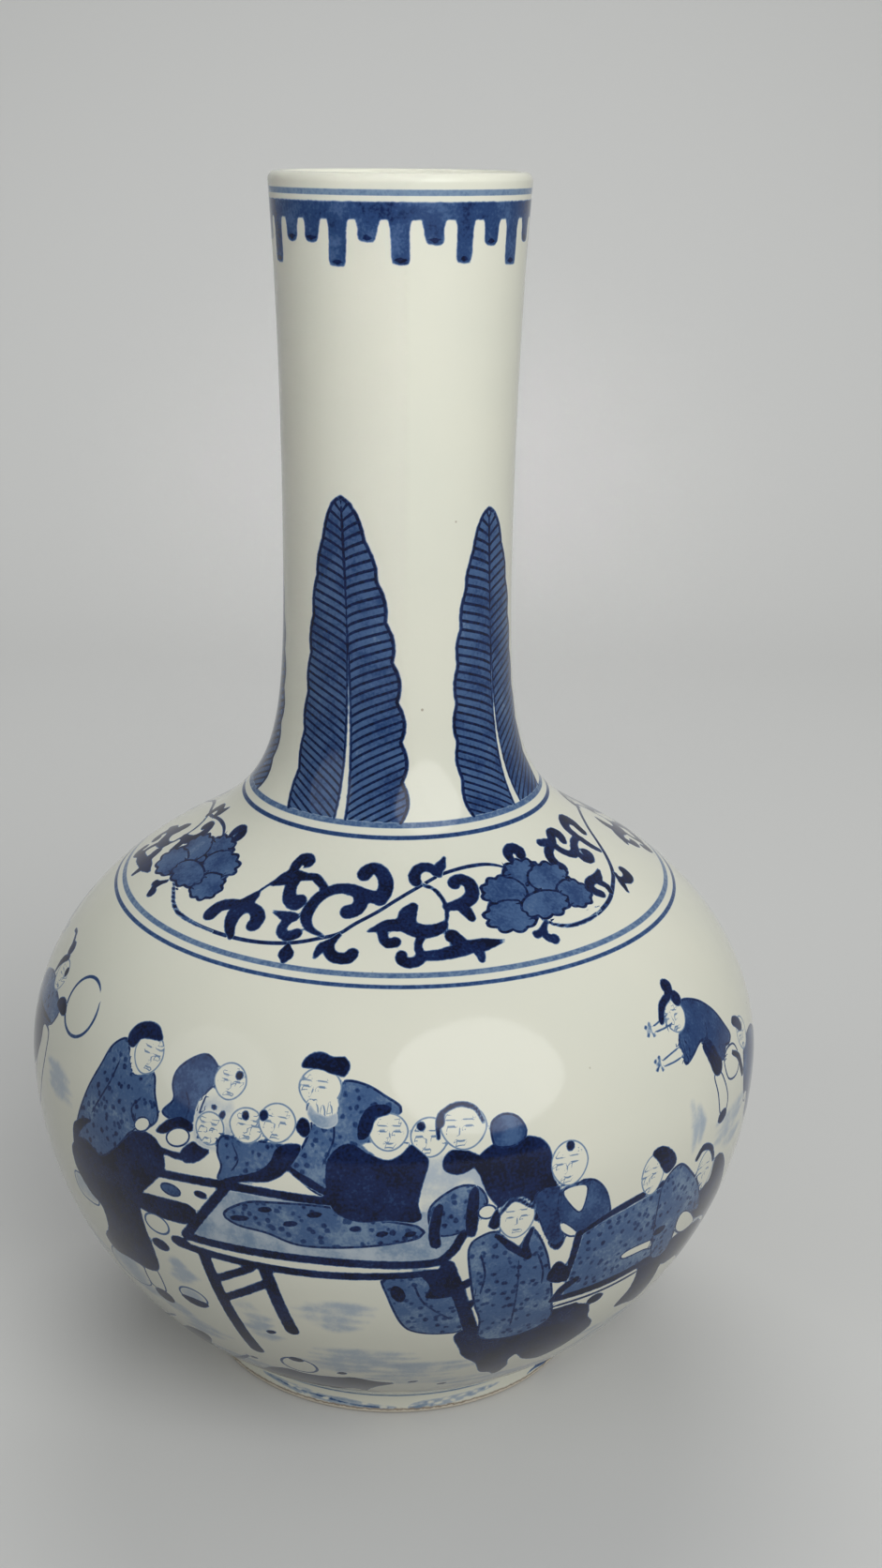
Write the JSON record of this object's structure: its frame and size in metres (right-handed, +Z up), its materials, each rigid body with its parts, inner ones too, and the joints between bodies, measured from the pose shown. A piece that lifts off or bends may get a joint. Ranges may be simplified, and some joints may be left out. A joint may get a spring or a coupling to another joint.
{
  "type": "bottle vase",
  "caption": "Globular bottle vase with a tall waisted neck, rolled lip and low turned foot, in blue-and-white glazed porcelain.",
  "frame": {"origin": "on the table, under the middle of the foot ring", "axes": "+Z up along the vase's axis to the mouth; -Y towards the viewer of the picture; +X to that viewer's right"},
  "size_m": [0.244, 0.244, 0.39],
  "materials": {
    "glazed_porcelain": "gloss glaze over cobalt painting",
    "fired_slip": "fired clay slip, glazed over"
  },
  "bodies": {
    "root": {"foot_ring": "glazed_porcelain", "foot_slip": "fired_slip", "lower_belly": "glazed_porcelain", "belly_slip": "fired_slip", "upper_belly": "glazed_porcelain", "neck_slip": "fired_slip", "neck": "glazed_porcelain"}
  },
  "joints": []
}
